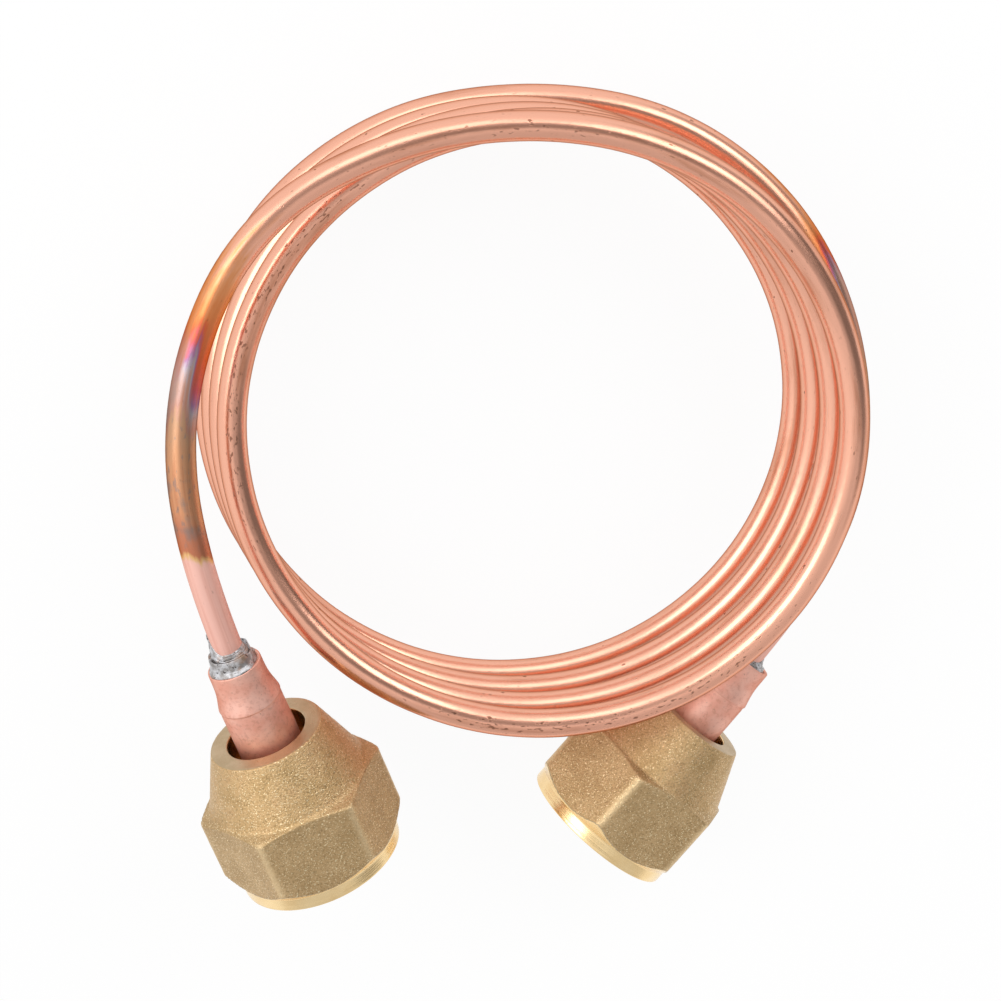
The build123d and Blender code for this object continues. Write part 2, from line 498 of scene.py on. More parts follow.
# %% Copper of the stubs
PICKLED_PINK = (1.0, 0.60, 0.49, 1.0)
PICKLED_RED = (0.92, 0.47, 0.36, 1.0)
BROWN_MOTTLE = (0.60, 0.25, 0.18, 1.0)
BROWN_SMUDGE = (0.52, 0.28, 0.21, 1.0)
BROWN_SPECK = (0.34, 0.17, 0.12, 1.0)
# Scale, detail and roughness of each grain.
STUB_GRAINS = {
    "cloud": (420.0, 4.0, 0.6),
    "fine": (5200.0, 2.0, 0.5),
    "smudge": (300.0, 5.0, 0.7),
    "specks": (2600.0, 2.0, 0.5),
    "mottle": (2400.0, 4.0, 0.7),
}
STUB_RELIEF = 0.06 * MM


def copper_of_stub():
    """Matte pickled copper."""
    material, shader, wire = finish("pickled_copper")
    # The edge tint is a painted shade along the outline.
    shader.inputs["Specular Tint"].default_value = PAINTED_EDGE_SHADE
    place = wire.make("ShaderNodeTexCoord", out="Object")
    cloud, fine, smudge, specks, mottle = (grain(wire, place, *noise) for noise in STUB_GRAINS.values())
    colour = layered(PICKLED_PINK, (
        (cloud.span(0.35, 0.7), PICKLED_RED),
        (mottle.span(0.48, 0.66) * 0.32, BROWN_MOTTLE),
        (smudge.span(0.58, 0.76) * 0.2, BROWN_SMUDGE),
        (specks.span(0.70, 0.76) * 0.4, BROWN_SPECK),
    ))
    feed(shader, base_color=colour, roughness=0.44 + 0.16 * cloud)
    feed(shader, normal=bump(fine + cloud, 0.25, STUB_RELIEF))
    return material


pickled_copper = copper_of_stub()
print("finish", pickled_copper.name, "nodes", len(pickled_copper.node_tree.nodes))

# %% [markdown]
# The braze is a silver grey solder, lumpy and pitted where it set, with a few warm stains of flux. Its
# big lumps are in the mesh, and the finish adds the small ones.

# %% Braze metal
BRAZE_DARK = (0.33, 0.31, 0.30, 1.0)
BRAZE_LIGHT = (0.66, 0.66, 0.68, 1.0)
FLUX_STAIN = (0.45, 0.27, 0.16, 1.0)
BLACK_PIT = (0.06, 0.05, 0.045, 1.0)
BRAZE_GRAINS = {
    "lumps": (1500.0, 3.0, 0.6),
    "stain": (600.0, 3.0, 0.5),
    "pits": (3600.0, 1.0, 0.5),
}
BRAZE_RELIEF = 0.15 * MM


def silver_braze():
    """Silver grey braze with pits and a few warm stains."""
    material, shader, wire = finish("silver_braze")
    place = wire.make("ShaderNodeTexCoord", out="Object")
    lumps, stain, pits = (grain(wire, place, *noise) for noise in BRAZE_GRAINS.values())
    pits = pits.span(0.66, 0.72)
    colour = layered(BRAZE_DARK, (
        (lumps.span(0.35, 0.65), BRAZE_LIGHT),
        (stain.span(0.55, 0.72) * 0.7, FLUX_STAIN),
        (pits, BLACK_PIT),
    ))
    feed(shader, base_color=colour, roughness=0.36 + 0.3 * stain)
    feed(shader, normal=bump(lumps - pits, 0.6, BRAZE_RELIEF))
    return material


braze_metal = silver_braze()
print("finish", braze_metal.name, "nodes", len(braze_metal.node_tree.nodes))

# %% [markdown]
# The nuts are hot forged brass. The forged skin is a rough, grainy olive gold, browner in places on the
# cone and paler along its corner ridges. Its glitter is painted: small bright gold glints in the colour
# stand in for highlights. The cone is painted lighter than the flats, for the light that falls on it. The
# mouth is machined bright yellow, and the top face is machined to a plain tan. Separate materials could do
# this, but then each boundary would follow the mesh, so stored attributes say what each point is. In cut, 0
# is forged, 0.5 the top and 1 the mouth.

# %% Brass of the nuts
FLAT_DARK, FLAT_LIGHT = (0.53, 0.36, 0.18, 1.0), (0.64, 0.45, 0.24, 1.0)
# Painted light: the cone's colours are the forged skin made lighter, for the light that falls on the cone.
LIT_CONE_DARK, LIT_CONE_LIGHT = (0.57, 0.38, 0.18, 1.0), (0.74, 0.51, 0.27, 1.0)
TOP_LIGHT, TOP_DARK = (0.58, 0.45, 0.29, 1.0), (0.50, 0.38, 0.23, 1.0)
RING_LIGHT, RING_DARK = (1.0, 0.76, 0.42, 1.0), (0.93, 0.67, 0.34, 1.0)
BROWN_GRAIN = (0.30, 0.19, 0.08, 1.0)
# A painted highlight: bright gold specks for the skin's glints.
PAINTED_GLINT = (1.0, 0.84, 0.54, 1.0)
CONE_BROWN = (0.42, 0.23, 0.10, 1.0)
PALE_CORNER = (0.86, 0.65, 0.38, 1.0)
BRASS_GRAINS = {
    "sand": (4800.0, 3.0, 0.65),
    "glint": (7000.0, 1.0, 0.5),
    "cloud": (330.0, 4.0, 0.6),
}
TURNING_SCALE = 9000.0
RING_ROUGHNESS = 0.20
BRASS_RELIEF = 0.16 * MM


def brass_of_nut():
    """Forged brass with machined ends."""
    material, shader, wire = finish("forged_brass")
    place = wire.make("ShaderNodeTexCoord", out="Object")
    cut, cone, ridge = stored(wire, "cut"), stored(wire, "cone"), stored(wire, "ridge")
    sand, glint, cloud = (grain(wire, place, *noise) for noise in BRASS_GRAINS.values())
    sockets = {"W": stored(wire, "ring_radius") + stored(wire, "ring_height"), "Scale": TURNING_SCALE}
    turning = wire.make("ShaderNodeTexNoise", {"noise_dimensions": "1D"}, sockets)
    is_top, is_ring = cut.span(0.2, 0.3), cut.span(0.7, 0.8)
    patchy, even = cloud.span(0.3, 0.7), cloud.span(0.35, 0.65)
    painted_glints = glint.span(0.60, 0.69)
    colour = layered(mix(patchy, FLAT_DARK, FLAT_LIGHT), (
        # Painted light: the cone takes the lighter copy of the skin.
        (cone, mix(patchy, LIT_CONE_DARK, LIT_CONE_LIGHT)),
        (sand.span(0.52, 0.36) * 0.55, BROWN_GRAIN),
        # Painted highlight: glints laid into the colour.
        (painted_glints * 0.85, PAINTED_GLINT),
        (cone * cloud.span(0.5, 0.66) * 0.3, CONE_BROWN),
        # Paler along the hexagon's corner ridges.
        (ridge * 0.6, PALE_CORNER),
        (is_top, mix(even, TOP_LIGHT, TOP_DARK)),
        (is_ring, mix(even, RING_LIGHT, RING_DARK)),
    ))
    rough = 0.38 + 0.25 * sand - 0.22 * painted_glints - 0.08 * ridge
    roughness = rough * (1 - is_ring) + RING_ROUGHNESS * is_ring
    relief = (sand + glint * 0.3) * (1 - is_top * 0.9) + turning * is_top * 0.2
    feed(shader, base_color=colour, roughness=roughness, normal=bump(relief, 0.55, BRASS_RELIEF))
    return material


forged_brass = brass_of_nut()
print("finish", forged_brass.name, "nodes", len(forged_brass.node_tree.nodes))

# %% [markdown]
# The tube's route. Its corners are the same as those of the solid: a tail from the left fitting, four
# loose turns that each lie a little lower and to one side, and a tail to the right fitting.
# The solid rounds its corners with arcs. Here a NURBS spline takes the corners as control points, which
# gives the even, springy line of hand-bent tube. The place of the left fitting comes from the packed
# joint, so the route sits where the solids are.

# %% Corners of the route
COIL_RADIUS = 30.0
TURN_PITCH = 5.25
CORNERS_PER_TURN = 12
COIL_CORNERS = 48
FIRST_BEARING = 82.0
TURN_DRIFT = 1.08
DRIFT_BEARING = 185.0
# Bearing, share of the coil's radius, and level in shares of the pitch.
LEFT_TAIL = (
    (221.5, 1.307, 0.20), (197.6, 1.214, 0.81), (170.0, 1.207, 0.66), (142.0, 1.200, 0.42),
    (113.0, 1.088, 0.16),
)
RIGHT_TAIL = (
    (91.0, 1.028, -0.06), (63.0, 1.053, -0.07), (36.0, 1.082, 0.09), (10.0, 1.105, 0.46),
    (-16.5, 1.146, 0.93), (-40.2, 1.140, 1.33), (-58.8, 1.206, 1.33),
)


def corner(bearing, radius, level):
    """A corner of the route from its bearing, radius and level."""
    angle = math.radians(bearing)
    return Vector((radius * math.cos(angle), radius * math.sin(angle), level))


def route_corners():
    """Every corner of the route, about the coil's own axis, in millimetres."""
    corners = [corner(b, r * COIL_RADIUS, z * TURN_PITCH) for b, r, z in LEFT_TAIL]
    outer = COIL_RADIUS / math.cos(math.pi / CORNERS_PER_TURN)
    for count in range(COIL_CORNERS):
        turns = count / CORNERS_PER_TURN
        level = -turns * TURN_PITCH
        drift = corner(DRIFT_BEARING, turns * TURN_DRIFT, level)
        corners.append(drift + corner(FIRST_BEARING - turns * 360.0, outer, 0.0))
    corners += [corner(b, r * COIL_RADIUS, level + z * TURN_PITCH) for b, r, z in RIGHT_TAIL]
    return corners


print("corners", len(route_corners()))

# %% Route where the coil rests
REST_BEARING = 188.5
REST_LEAN = 2.24
TUBE_END_TO_NUT_MOUTH = 19.688

swivels = {joint["name"]: joint for joint in frame["joints"]}
left_mouth = Vector(swivels["left_nut_swivel"]["pos_m"])
left_out = Vector(swivels["left_nut_swivel"]["axis"])
right_mouth = Vector(swivels["right_nut_swivel"]["pos_m"])
right_out = Vector(swivels["right_nut_swivel"]["axis"])
lean = Matrix.Rotation(math.radians(REST_LEAN), 3, corner(REST_BEARING + 90.0, 1.0, 0.0))
leaned = [lean @ point * MM for point in route_corners()]
coil_axis = left_mouth - left_out * TUBE_END_TO_NUT_MOUTH * MM - leaned[0]
corners = [point + coil_axis for point in leaned]
miss = corners[-1] - (right_mouth - right_out * TUBE_END_TO_NUT_MOUTH * MM)
print("right end misses its fitting by", round(miss.length / MM, 3), "mm")

# %% The route as a smooth line
STEPS_PER_CORNER = 16


def smooth_line(name, points, steps):
    """A mesh line along a NURBS spline with these control points."""
    curve = bpy.data.curves.new(name, "CURVE")
    curve.dimensions = "3D"
    curve.resolution_u = steps
    spline = curve.splines.new("NURBS")
    spline.points.add(len(points) - 1)
    for spot, point in zip(spline.points, points):
        spot.co = (*point, 1.0)
    spline.order_u = 3
    spline.use_endpoint_u = True
    holder = bpy.data.objects.new(name, curve)
    bpy.context.scene.collection.objects.link(holder)
    bpy.context.view_layer.update()
    graph = bpy.context.evaluated_depsgraph_get()
    line = bpy.data.meshes.new_from_object(holder.evaluated_get(graph))
    bpy.data.objects.remove(holder)
    return line


route = smooth_line("route", corners, STEPS_PER_CORNER)
spots = [vertex.co for vertex in route.vertices]
length = sum((spots[a] - spots[b]).length for a, b in (edge.vertices for edge in route.edges))
print("route points", len(spots), "length mm", round(length / MM, 1))

# %% [markdown]
# The tube itself repeats one ring along the route, which is what Geometry Nodes do well: a circle swept
# on the line. A curve's own bevel could do it too, but it would keep no place on the straight tube.
# The outer wall and the bore are two sweeps, and slight dents move the outer wall inwards, because soft
# copper wound by hand is never quite even.

# %% Tree of the drawn tube
def drawn_tube_tree():
    """Sweeps an outer wall and a bore along a line, and keeps the place on the straight tube."""
    sizes = [(name, "Float") for name in ("Radius", "Bore", "Dent", "Dent Scale", "Seed")]
    inputs = sizes + [("Sides", "Int"), ("Axis", "Vector"), ("Metal", "Material")]
    tree, given = new_tree("drawn_tube", inputs)
    line = given["Geometry"]
    curve = line.make("GeometryNodeMeshToCurve", None, {"Mesh": line})
    curve = keep(curve, "along", curve.make("GeometryNodeSplineParameter", out="Length"))

    def wall(radius):
        """One wall, and where its points would be on the straight tube."""
        swept = swept_along(curve, share_ring(line, given["Sides"], radius))
        angle = kept(swept, "share") * math.tau
        spot = {"X": angle.math("COSINE") * radius, "Y": angle.math("SINE") * radius}
        spot["Z"] = kept(swept, "along")
        straight = swept.make("ShaderNodeCombineXYZ", None, spot)
        return keep(swept, "straight", straight, "FLOAT_VECTOR"), straight

    outer, straight = wall(given["Radius"])
    to_axis = vector("SUBTRACT", given["Axis"], outer.make("GeometryNodeInputPosition"))
    level = vector("NORMALIZE", vector("MULTIPLY", to_axis, (1.0, 1.0, 0.0)))
    facing = vector("DOT_PRODUCT", outer.make("GeometryNodeInputNormal"), level, out="Value")
    outer = keep(outer, "inward", facing)
    wave = seeded_noise(straight, given["Seed"], given["Dent Scale"], 2.0)
    outer = pushed(outer, wave * given["Dent"] * -1.0)
    bore, _ = wall(given["Bore"])
    bore = bore.make("GeometryNodeFlipFaces", None, {"Mesh": bore})
    both = outer.make("GeometryNodeJoinGeometry")
    for part in (bore, outer):
        tree.links.new(part.socket, both.socket.node.inputs[0])
    close_tree(tree, both, given["Metal"])
    return tree


tube_tree = drawn_tube_tree()
print("tree", tube_tree.name, "nodes", len(tube_tree.nodes))

# %% Grow the tube and close its ends
TUBE_SIZES = {
    "Radius": 1.49 * MM, "Bore": 0.9 * MM, "Sides": 28, "Dent": 0.05 * MM, "Dent Scale": 190.0, "Seed": 3.0,
}
END_REACH = 5.0 * MM


def join_open_rings(mesh):
    """Closes each end of a tube with a flat ring between its wall and its bore."""
    work = bmesh.new()
    work.from_mesh(mesh)
    rings = [edge for edge in work.edges if edge.is_boundary]
    first = rings[0].verts[0].co
    near = [edge for edge in rings if (edge.verts[0].co - first).length < END_REACH]
    far = [edge for edge in rings if edge not in near]
    for pair in (near, far):
        bmesh.ops.bridge_loops(work, edges=pair)
    bmesh.ops.recalc_face_normals(work, faces=work.faces)
    work.to_mesh(mesh)
    open_edges = sum(edge.is_boundary for edge in work.edges)
    work.free()
    return open_edges


tube_values = {**TUBE_SIZES, "Axis": coil_axis, "Metal": drawn_copper}
tube = grown("coiled_tube", route, tube_tree, tube_values)
print("tube faces", len(tube.data.polygons), "open edges", join_open_rings(tube.data))
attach(tube, "coil")
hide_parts("capillary_tube")

# %% [markdown]
# Everything else on this object was turned or forged about an axis, so one tree can grow it: a closed
# outline of radius and height is swept round a circle. For a nut, the radius is also held inside a
# hexagon with soft corners, its bore carries a screw thread, and noise roughens the forged skin. A braze
# is pulled up on one side. A Screw modifier could turn the outline too, but it couldn't do the rest.

# %% Reach of a hexagon
SIXTH = math.pi / 3


def hexagon_reach(angle, given):
    """How far a hexagon with soft corners reaches at an angle, and the swing from its flat's middle."""
    swing = (angle - given["Turn"] + SIXTH / 2).math("FLOORED_MODULO", SIXTH) - SIXTH / 2
    swing = swing.math("ABSOLUTE")
    flat = given["Flats"] / swing.math("COSINE")
    next_flat = given["Flats"] / (SIXTH - swing).math("COSINE")
    return flat.math("SMOOTH_MIN", next_flat, given["Corner"]), swing


# %% Tree of the turned and forged pieces
CLIMB_POWER = 8.0
DROP_SIDE = (0.01, 0.14)
THREAD_FLANK = 1.25
RIDGE_SWING = (SIXTH * 0.44, SIXTH * 0.49)
RIDGE_DEPTH = (0.3 * MM, -0.1 * MM)
FLAT_EDGE = (-0.02 * MM, 0.06 * MM)
SAND_SCALE = 1300.0


def turned_tree():
    """Turns an outline about Z. Marks on the outline say what each point takes part in."""
    sizes = ("Flats", "Corner", "Turn", "Pitch", "Thread", "Lump", "Lump Scale", "Grain", "Seed")
    inputs = [(name, "Float") for name in (*sizes, "Climb Turn")]
    tree, given = new_tree("turned_piece", inputs + [("Sides", "Int"), ("Metal", "Material")])
    ring = given["Geometry"]
    profile = ring.make("GeometryNodeMeshToCurve", None, {"Mesh": ring})
    swept = swept_along(share_ring(ring, given["Sides"], 1.0), profile)
    angle = kept(ring, "share") * math.tau
    climb = (angle - given["Climb Turn"]).math("COSINE") * 0.5 + 0.5
    near = 0.5 + 0.5 * climb.span(*DROP_SIDE)
    radius = kept(ring, "ring_radius") + kept(ring, "spread") * near
    height = kept(ring, "ring_height") + kept(ring, "lift") * climb.math("POWER", CLIMB_POWER)
    height = height + kept(ring, "brim") * near
    hexagon, swing = hexagon_reach(angle, given)
    held = hexagon.math("SMOOTH_MIN", radius, kept(ring, "soft"))
    hex_share = kept(ring, "hex")
    reach = held * hex_share + radius * (1 - hex_share)
    screw = (height / given["Pitch"] - kept(ring, "share")).math("FRACT")
    groove = (1 - (screw * 2 - 1).math("ABSOLUTE") * THREAD_FLANK).math("MAXIMUM", 0.0)
    reach = reach + kept(ring, "thread") * groove * given["Thread"]
    spot = {"X": angle.math("COSINE") * reach, "Y": angle.math("SINE") * reach, "Z": height}
    place = ring.make("ShaderNodeCombineXYZ", None, spot)
    moved = swept.make("GeometryNodeSetPosition", None, {"Geometry": swept, "Position": place})
    ridge = (hexagon - radius).span(*RIDGE_DEPTH) * swing.span(*RIDGE_SWING) * hex_share
    on_flat = (radius - hexagon).span(*FLAT_EDGE) * hex_share
    moved = keep(moved, "ridge", ridge)
    moved = keep(moved, "cut", kept(ring, "cut") * (1 - on_flat))
    lumps = seeded_noise(place, given["Seed"], given["Lump Scale"], 2.0)
    sand = seeded_noise(place, given["Seed"], SAND_SCALE, 3.0)
    rough = kept(ring, "rough").math("MAXIMUM", on_flat)
    moved = pushed(moved, ((0.5 - lumps) * given["Lump"] - sand * given["Grain"]) * rough)
    close_tree(tree, moved, given["Metal"])
    return tree


turned = turned_tree()
print("tree", turned.name, "nodes", len(turned.nodes))

# %% [markdown]
# An outline is a closed ring of points, each with a radius, a height and its marks. The helper takes
# the outline's corners in millimetres, rounds each by its own small radius, and divides long runs, so
# that the hexagon has rows enough to follow.

# %% Outlines
MARKS = ("hex", "soft", "rough", "cut", "cone", "thread", "lift", "brim", "spread")
ROUND_STEPS = 4
TRIM_SHARE = 0.45


def outline_rows(corners, spacing):
    """Points of an outline, with their marks."""
    rows = []
    for index, (radius, height, rounding, marks) in enumerate(corners):
        before, after = corners[index - 1], corners[(index + 1) % len(corners)]
        here = Vector((radius, height))
        back, ahead = Vector(before[:2]) - here, Vector(after[:2]) - here
        trim = min(rounding, back.length * TRIM_SHARE, ahead.length * TRIM_SHARE)
        begin, end = here + back.normalized() * trim, here + ahead.normalized() * trim
        for step in range(ROUND_STEPS):
            t = step / (ROUND_STEPS - 1)
            spot = begin * (1 - t) ** 2 + here * 2 * t * (1 - t) + end * t**2
            rows.append((spot, marks if t > 0.5 else before[3]))
        run = Vector(after[:2]) - end
        pieces = max(1, round((run.length - min(after[2], run.length * TRIM_SHARE)) / spacing))
        for step in range(1, pieces):
            rows.append((end + run.normalized() * spacing * step, marks))
    return rows


def outline(name, corners, spacing):
    """A closed mesh ring from corners (radius, height, rounding, marks of the run that follows)."""
    rows = outline_rows(corners, spacing)
    mesh = bpy.data.meshes.new(name)
    points = [(spot.x * MM, 0.0, spot.y * MM) for spot, _ in rows]
    edges = [(i, (i + 1) % len(rows)) for i in range(len(rows))]
    mesh.from_pydata(points, edges, [])
    columns = {"ring_radius": [p[0] for p in points], "ring_height": [p[2] for p in points]}
    for mark in MARKS:
        columns[mark] = [marks.get(mark, 0.0) for _, marks in rows]
    for label, values in columns.items():
        mesh.attributes.new(label, "FLOAT", "POINT").data.foreach_set("value", values)
    return mesh


# %% [markdown]
# Each piece is grown about Z at the origin and then moved to its fitting, by its mesh and not by its
# object, so that patterns on Object coordinates stay with it. The turn of each hexagon is read from the
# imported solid, because typing it again could let the two drift apart.

# %% Places of the two fittings
CORNER_BAND = 0.96
# A different seed for each side, so that no two pieces have the same lumps.
SIDE_SEEDS = {"left": 4.0, "right": 5.0}


def fitting_place(mouth, outward):
    """The place of a fitting: its origin is the nut's mouth, and Z points back along the capillary."""
    return Matrix.Translation(mouth) @ (-outward).to_track_quat("Z", "Y").to_matrix().to_4x4()


def flat_bearing(node, place):
    """The bearing of a hexagon's flat about its fitting, read from the solid's corners."""
    back = place.inverted()
    spots = [back @ vertex.co for vertex in frame["nodes"][node].data.vertices]
    edge = max(spot.xy.length for spot in spots)
    swings = [6 * math.atan2(spot.y, spot.x) for spot in spots if spot.xy.length > edge * CORNER_BAND]
    corner_turn = math.atan2(sum(map(math.sin, swings)), sum(map(math.cos, swings))) / 6
    return corner_turn + math.pi / 6


def seat(piece, place):
    """Moves a piece grown about Z to its fitting, and counts the edges that aren't closed."""
    piece.data.transform(place)
    work = bmesh.new()
    work.from_mesh(piece.data)
    bmesh.ops.recalc_face_normals(work, faces=work.faces)
    work.to_mesh(piece.data)
    open_edges = sum(not edge.is_manifold for edge in work.edges)
    print(piece.name, "faces", len(work.faces), "open edges", open_edges)
    work.free()


fittings = {"left": fitting_place(left_mouth, left_out), "right": fitting_place(right_mouth, right_out)}
for side, place in fittings.items():
    print(side, "flat turned by", round(math.degrees(flat_bearing(side + "_flare_nut", place)), 1))

# %% [markdown]
# The flare nuts are the heaviest things here and the eye goes to them. From the mouth up: a machined
# ring, a chamfer that cuts arcs into the flats, the hexagon, small ledges over its corners, a cone and a
# machined top. Inside are the tube hole, the seat and the thread. Cutting a hexagon with booleans would
# give the same solid, but its edges would be razor sharp and its rows uneven.

# %% Flare nuts
FORGED = {"hex": 1.0, "soft": 0.16 * MM, "rough": 1.0}
MACHINED_RING = {"hex": 1.0, "soft": 0.05 * MM, "cut": 1.0}
CONE = {**FORGED, "cone": 1.0}
TOP = {"cut": 0.5}
BORE = {"cut": 1.0, "thread": 1.0}
PLAIN_BORE = {"cut": 1.0}
NUT_OUTLINE = (
    (5.6, 0.0, 0.08, MACHINED_RING),
    (8.4, 0.0, 0.12, MACHINED_RING),
    (8.4, 1.4, 0.12, MACHINED_RING),
    (9.815, 2.815, 0.25, FORGED),
    (9.815, 9.1, 0.5, FORGED),
    (8.3, 9.7, 0.3, CONE),
    (5.8, 15.8, 0.18, TOP),
    (4.1, 15.8, 0.15, PLAIN_BORE),
    (4.1, 10.3, 0.1, PLAIN_BORE),
    (4.9, 9.5, 0.1, BORE),
    (4.9, 0.7, 0.05, PLAIN_BORE),
)
NUT_SPACING = 0.2
NUT_SIZES = {
    "Flats": 8.48 * MM, "Corner": 1.0 * MM, "Pitch": 1.27 * MM, "Thread": 0.6 * MM, "Lump": 0.08 * MM,
    "Lump Scale": 260.0, "Grain": 0.06 * MM, "Sides": 216, "Metal": forged_brass,
}
NUT_SEED = 1.0


def flare_nut(side):
    """One forged nut at its fitting."""
    ring = outline(side + "_nut_outline", NUT_OUTLINE, NUT_SPACING)
    turn = flat_bearing(side + "_flare_nut", fittings[side])
    values = {**NUT_SIZES, "Turn": turn, "Seed": NUT_SEED + SIDE_SEEDS[side]}
    nut = grown(side + "_forged_nut", ring, turned, values)
    seat(nut, fittings[side])
    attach(nut, side + "_nut")
    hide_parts(side + "_flare_nut")


for side in fittings:
    flare_nut(side)

# %% [markdown]
# Each stub is a short piece of wider tube, spun down at the rim for the capillary, with a crease where
# the spinning stopped, and flared under the nut. It could be a swept tube like the capillary, but its
# wall changes width along its length, so it is turned from an outline of both walls.

# %% Stubs
NUT_MOUTH_TO_RIM = 24.388
STUB_SKIN = {"rough": 1.0}
# Radius, level from the rim and rounding: down the outside and up the bore.
STUB_CORNERS = (
    (2.74, 0.0, 0.12), (2.80, -2.3, 0.8), (3.20, -3.9, 0.3), (3.27, -4.2, 0.06), (3.18, -4.36, 0.06),
    (3.21, -4.8, 0.2), (3.21, -13.4, 0.6), (4.6, -14.8, 0.15), (3.61, -14.8, 0.15),
    (2.475, -13.665, 0.6), (2.475, -4.5, 0.4), (2.25, -3.8, 0.4), (2.08, -1.2, 0.3), (2.36, -0.05, 0.1),
)
STUB_SPACING = 0.25
STUB_SIZES = {
    "Flats": 1.0, "Pitch": 1.0, "Lump": 0.16 * MM, "Lump Scale": 190.0, "Grain": 0.02 * MM, "Sides": 96,
    "Metal": pickled_copper,
}
STUB_SEED = 7.0


def flared_stub(side):
    """One stub at its fitting."""
    rows = [(r, NUT_MOUTH_TO_RIM + level, rounding, STUB_SKIN) for r, level, rounding in STUB_CORNERS]
    ring = outline(side + "_stub_outline", rows, STUB_SPACING)
    values = {**STUB_SIZES, "Seed": STUB_SEED + SIDE_SEEDS[side]}
    stub = grown(side + "_flared_stub", ring, turned, values)
    seat(stub, fittings[side])
    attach(stub, "coil")
    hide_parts(side + "_stub")


for side in fittings:
    flared_stub(side)

# %% [markdown]
# The braze fills the stub's mouth and climbs one side of the capillary. It could be sculpted by hand,
# but a rule is easier to change: it is turned like the rest and then pushed about. Its top is pulled up
# on one side, its outer edge drops away opposite, noise makes it lumpy, and it leans with the tube.

# %% Outlines of the brazes
# Radius, level from the rim, rise against the tube, lift on the climbing side, and the rise and
# widening that drop away opposite the climbing side.
BRAZE_ROWS = (
    (1.36, -0.60, 2.6, 2.5, 0.0, 0.0),
    (1.36, -2.7, 0.0, 0.0, 0.0, 0.0),
    (2.05, -2.7, 0.0, 0.0, 0.0, 0.0),
    (2.05, -0.80, 0.0, 0.0, 0.75, 0.58),
    (1.95, -0.70, 0.1, 0.1, 0.9, 0.32),
    (1.80, -0.65, 1.2, 0.5, 0.3, 0.10),
    (1.66, -0.62, 1.8, 1.4, 0.1, 0.02),
    (1.55, -0.60, 2.2, 2.2, 0.0, 0.0),
)
CLIMB_SHARE = {"left": 1.0, "right": 0.3}
BRIM_SHARE = {"left": 1.0, "right": 0.38}
BRAZE_ROUNDING = 0.1
BRAZE_SPACING = 0.1


def braze_outline(side):
    """The outline of one braze, with its own shares of climb and brim."""
    rows = []
    for radius, level, rise, lift, brim, spread in BRAZE_ROWS:
        marks = {"rough": 1.0, "lift": lift * CLIMB_SHARE[side] * MM}
        marks.update(brim=brim * BRIM_SHARE[side] * MM, spread=spread * MM)
        height = NUT_MOUTH_TO_RIM + level + rise * BRIM_SHARE[side]
        rows.append((radius, height, BRAZE_ROUNDING, marks))
    return outline(side + "_braze_outline", rows, BRAZE_SPACING)


# %% Brazes
CLIMB_SIDES = {"left": -CAMERA_RIGHT, "right": CAMERA_RIGHT}
BRAZE_SIZES = {
    "Flats": 1.0, "Pitch": 1.0, "Lump": 0.26 * MM, "Lump Scale": 520.0, "Grain": 0.08 * MM, "Sides": 96,
    "Metal": braze_metal,
}
BRAZE_SEED = 11.0
TUBE_INSERTION = 4.7
TUBE_END = (NUT_MOUTH_TO_RIM - TUBE_INSERTION) * MM
# The bend is measured a little above the rim, on the part of the route that is near this fitting.
SWAY_LEVEL = (NUT_MOUTH_TO_RIM + 3.0) * MM
SWAY_REACH = 5.0 * MM


def tube_sway(side):
    """How far the capillary bends off its fitting's axis, over the square of the length."""
    back = fittings[side].inverted()
    spots = [back @ vertex.co for vertex in route.vertices]
    close = [spot for spot in spots if spot.xy.length < SWAY_REACH]
    near = min(close, key=lambda spot: abs(spot.z - SWAY_LEVEL))
    return Vector((near.x, near.y, 0.0)) / (near.z - TUBE_END) ** 2


def braze_mound(side):
    """One braze at its fitting."""
    toward = fittings[side].to_3x3().inverted() @ CLIMB_SIDES[side]
    values = {**BRAZE_SIZES, "Climb Turn": math.atan2(toward.y, toward.x)}
    values["Seed"] = BRAZE_SEED + SIDE_SEEDS[side]
    mound = grown(side + "_braze_mound", braze_outline(side), turned, values)
    bend = tube_sway(side)
    for vertex in mound.data.vertices:
        vertex.co += bend * max(0.0, vertex.co.z - TUBE_END) ** 2
    seat(mound, fittings[side])
    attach(mound, "coil")
    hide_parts(side + "_braze")


for side in fittings:
    braze_mound(side)

# %% [markdown]
# The stage is a plain pale floor under a white surround. The floor is partly its own light for the
# camera, so it reads as white paper, and partly lit, so it keeps the coil's soft shadow. More light
# would whiten it too, but it would bleach the metal with it.

# %% Floor
FLOOR_REACH = 3.0
FLOOR_COLOUR = (0.92, 0.92, 0.92, 1.0)
FLOOR_ROUGHNESS = 0.9
FLOOR_GLOW = 0.92
WHITE = (1.0, 1.0, 1.0, 1.0)


def shown_rays(wire):
    """One for rays that show the surround: to the camera, off gloss and through glass. Also gloss alone."""
    path = wire.make("ShaderNodeLightPath", out="Is Camera Ray")
    glossy = path.other("Is Glossy Ray")
    return path.math("MAXIMUM", glossy).math("MAXIMUM", path.other("Is Transmission Ray")), glossy


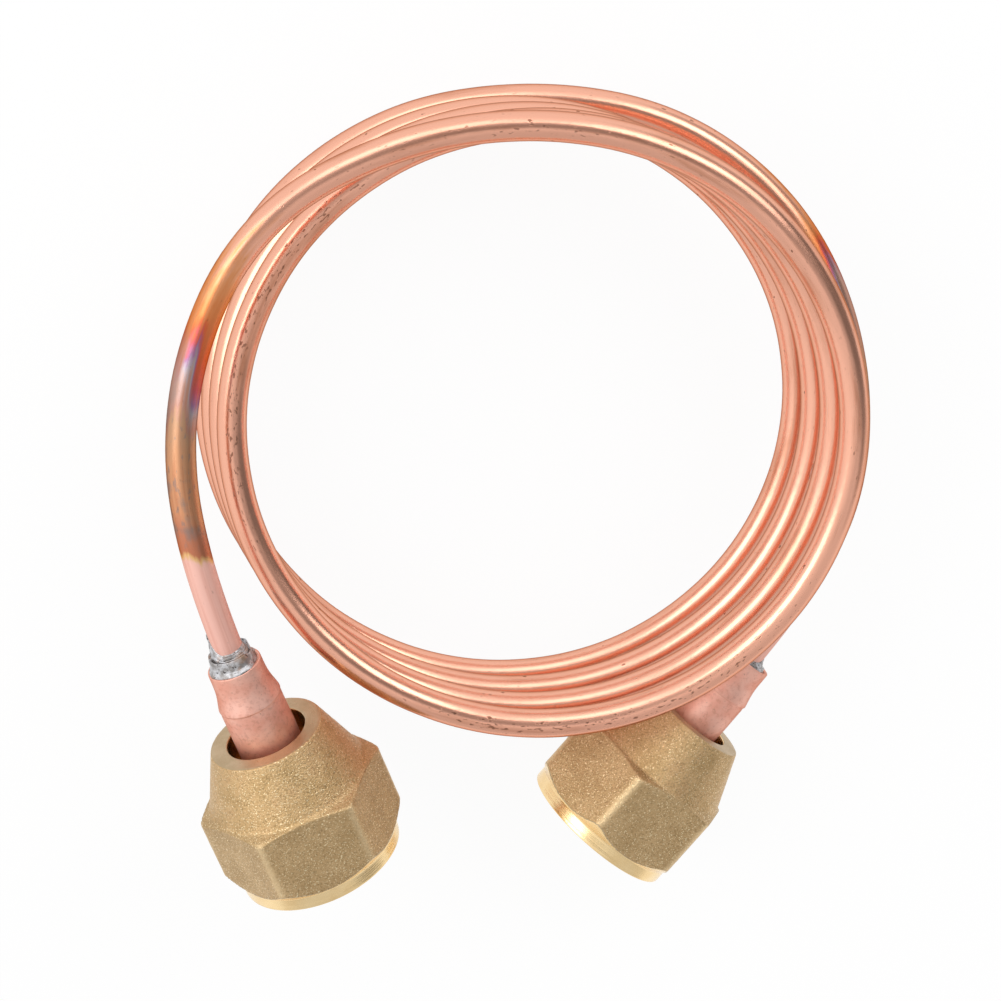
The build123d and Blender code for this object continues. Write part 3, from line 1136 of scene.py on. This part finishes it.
floor_mesh = bpy.data.meshes.new("floor")
floor_corners = [(x * FLOOR_REACH, y * FLOOR_REACH, 0.0) for x, y in ((-1, -1), (1, -1), (1, 1), (-1, 1))]
floor_mesh.from_pydata(floor_corners, [], [(0, 1, 2, 3)])
floor = bpy.data.objects.new("floor", floor_mesh)
bpy.context.scene.collection.objects.link(floor)
paper = bpy.data.materials.new("white_paper")
paper.use_nodes = True
wire = Wire(paper.node_tree)
lit = paper.node_tree.nodes["Principled BSDF"]
lit.inputs["Base Color"].default_value = FLOOR_COLOUR
lit.inputs["Roughness"].default_value = FLOOR_ROUGHNESS
seen, _ = shown_rays(wire)
glow = wire.make("ShaderNodeEmission", None, {"Color": WHITE, "Strength": 1.0})
sockets = {0: seen * FLOOR_GLOW, 1: Wire(paper.node_tree, lit.outputs[0]), 2: glow}
both = wire.make("ShaderNodeMixShader", None, sockets)
paper.node_tree.links.new(both.socket, paper.node_tree.nodes["Material Output"].inputs[0])
floor_mesh.materials.append(paper)
print("floor", floor.name, "material", paper.name)

# %% [markdown]
# A bright metal shows its room, and in a room of plain white it would look flat. A studio hangs dark
# cards near the object, so that round things get dark bands beside their highlights. Here the world
# does that: it is white, and dims towards each card in reflections only.

# %% World
# Direction, cosine of the angle at the edge, cosine where it is fully dark, and how dark it is.
DARK_CARDS = (
    ((0.1, -0.85, 0.40), 0.50, 0.95, 0.35),
    ((0.88, 0.08, 0.45), 0.78, 0.95, 0.80),
    ((0.42, 0.10, 0.89), 0.87, 0.95, 0.50),
    ((0.75, 0.60, 0.12), 0.85, 0.96, 0.60),
    ((0.06, 0.21, 0.97), 0.90, 0.96, 0.55),
)
FILL_LIGHT = 0.75

world = bpy.data.worlds.new("studio")
bpy.context.scene.world = world
world.use_nodes = True
wire = Wire(world.node_tree)
shown, glossy = shown_rays(wire)
toward = wire.make("ShaderNodeTexCoord", out="Generated")
mirrored = 1.0
for aim, edge, middle, depth in DARK_CARDS:
    nearness = vector("DOT_PRODUCT", toward, Vector(aim).normalized(), out="Value")
    mirrored = mirrored * (1 - depth * nearness.span(edge, middle))
strength = shown * (1 - glossy + glossy * mirrored) + (1 - shown) * FILL_LIGHT
background = world.node_tree.nodes["Background"]
world.node_tree.links.new(strength.socket, background.inputs["Strength"])
background.inputs["Color"].default_value = WHITE
print("world", world.name, "cards", len(DARK_CARDS))

# %% [markdown]
# Three soft lamps give the long highlights on the tube, from the upper right, the left and the top of
# the picture. A sun would give hard shadows, which the photograph lacks, so they are wide squares.

# %% Lamps
# Name, place in metres, width in metres and power in watts.
LAMPS = (
    ("key", (0.30, 0.33, 0.42), 0.32, 0.74),
    ("left", (-0.40, 0.13, 0.44), 0.34, 0.80),
    ("top", (-0.10, 0.40, 0.40), 0.26, 0.26),
)
LAMP_AIM = Vector((0.0, 0.0, 0.01))


def soft_lamp(name, place, size, power):
    """A square soft lamp that looks at the coil."""
    lamp = bpy.data.objects.new(name, bpy.data.lights.new(name, "AREA"))
    lamp.data.size = size
    lamp.data.energy = power
    turn = (LAMP_AIM - place).to_track_quat("-Z", "Y")
    lamp.matrix_world = Matrix.Translation(place) @ turn.to_matrix().to_4x4()
    bpy.context.scene.collection.objects.link(lamp)


for name, place, size, power in LAMPS:
    soft_lamp(name, Vector(place), size, power)
bpy.context.scene.view_settings.view_transform = "Standard"
print("lamps", len(LAMPS))
